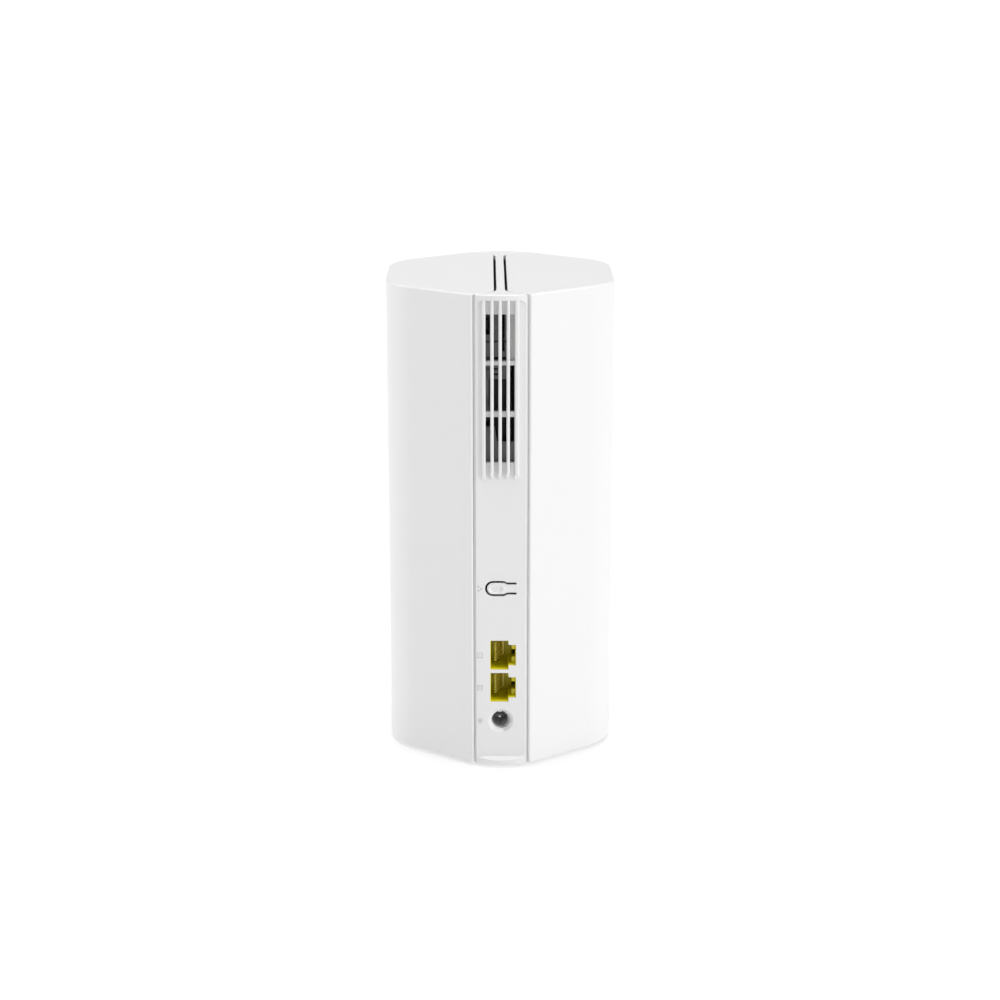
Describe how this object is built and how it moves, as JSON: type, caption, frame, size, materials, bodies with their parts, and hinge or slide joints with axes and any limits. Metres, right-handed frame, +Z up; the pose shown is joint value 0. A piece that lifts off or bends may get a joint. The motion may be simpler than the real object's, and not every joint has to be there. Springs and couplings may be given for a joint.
{
  "type": "wireless router",
  "caption": "Tower-shaped mesh wireless router: two hollow white wings on a narrow spine with a vent grille, pairing button, two network sockets and a power socket.",
  "frame": {"origin": "on the floor under the middle of the router, at the bottom of its rubber feet", "axes": "+Z up, -Y out of the port side, +X to the right as seen from the port side"},
  "size_m": [0.0936, 0.1142, 0.1976],
  "materials": {
    "shell": "fine satin texture",
    "inner_plastic": "matte moulded",
    "rubber": "matte",
    "circuit_board": "solder mask, satin",
    "jack_yellow": "moulded satin",
    "gold_contact": "gold flash",
    "socket_grey": "satin moulded",
    "black_plastic": "moulded satin",
    "plated_steel": "nickel plated",
    "grey_plastic": "matte moulded",
    "heat_sink": "black anodised",
    "thermal_pad": "soft matte",
    "chip_black": "matte epoxy",
    "shield_tin": "tin plated",
    "capacitor_can": "satin",
    "clear_plastic": "clear polycarbonate",
    "lead_black": "smooth jacket"
  },
  "bodies": {
    "root": {"right_shell": "shell", "left_shell": "shell", "rear_spine": "shell", "front_spine": "shell", "base_plate": "inner_plastic", "inner_frame": "inner_plastic", "upper_bracket": "inner_plastic", "upper_grille_plate": "grey_plastic", "lower_grille_plate": "grey_plastic", "main_board": "circuit_board", "ethernet_jack_block": "jack_yellow", "jack_contacts_1": "gold_contact", "jack_contacts_2": "gold_contact", "power_jack_housing": "socket_grey", "power_jack_pin": "plated_steel", "power_jack_spring": "plated_steel", "switch_body": "black_plastic", "heat_sink": "heat_sink", "thermal_pad": "thermal_pad", "processor": "chip_black", "memory_chip": "chip_black", "flash_chip": "chip_black", "radio_shield_1": "shield_tin", "radio_shield_2": "shield_tin", "lan_transformer_1": "chip_black", "lan_transformer_2": "chip_black", "power_inductor": "chip_black", "capacitor_1": "capacitor_can", "capacitor_2": "capacitor_can", "status_led": "clear_plastic", "light_pipe": "clear_plastic", "rubber_foot_1": "rubber", "antenna_1": "circuit_board", "antenna_lead_1": "lead_black", "board_screw_1": "plated_steel", "base_screw_1": "plated_steel", "rubber_foot_2": "rubber", "antenna_2": "circuit_board", "antenna_lead_2": "lead_black", "board_screw_2": "plated_steel", "base_screw_2": "plated_steel", "rubber_foot_3": "rubber", "antenna_3": "circuit_board", "antenna_lead_3": "lead_black", "board_screw_3": "plated_steel", "base_screw_3": "plated_steel", "rubber_foot_4": "rubber", "antenna_4": "circuit_board", "antenna_lead_4": "lead_black", "board_screw_4": "plated_steel", "base_screw_4": "plated_steel", "frame_screw_1": "plated_steel", "frame_screw_2": "plated_steel"},
    "button": {"mesh_button": "shell"},
    "plunger": {"switch_plunger": "black_plastic"}
  },
  "joints": [
    {"name": "button_press", "type": "hinge", "parent": "root", "child": "button", "pos_m": [0.00634, -0.054, 0.07695], "axis": [0, 0, -1], "range_deg": [0, 2.5], "stiffness_Nm_per_rad": 0.4},
    {"name": "plunger_travel", "type": "slide", "parent": "root", "child": "plunger", "axis": [0, 1, 0], "range_m": [0, 0.00044]}
  ],
  "couplings": [
    {"joint": "button_press", "follows": "plunger_travel", "rad_per_m": 98}
  ]
}
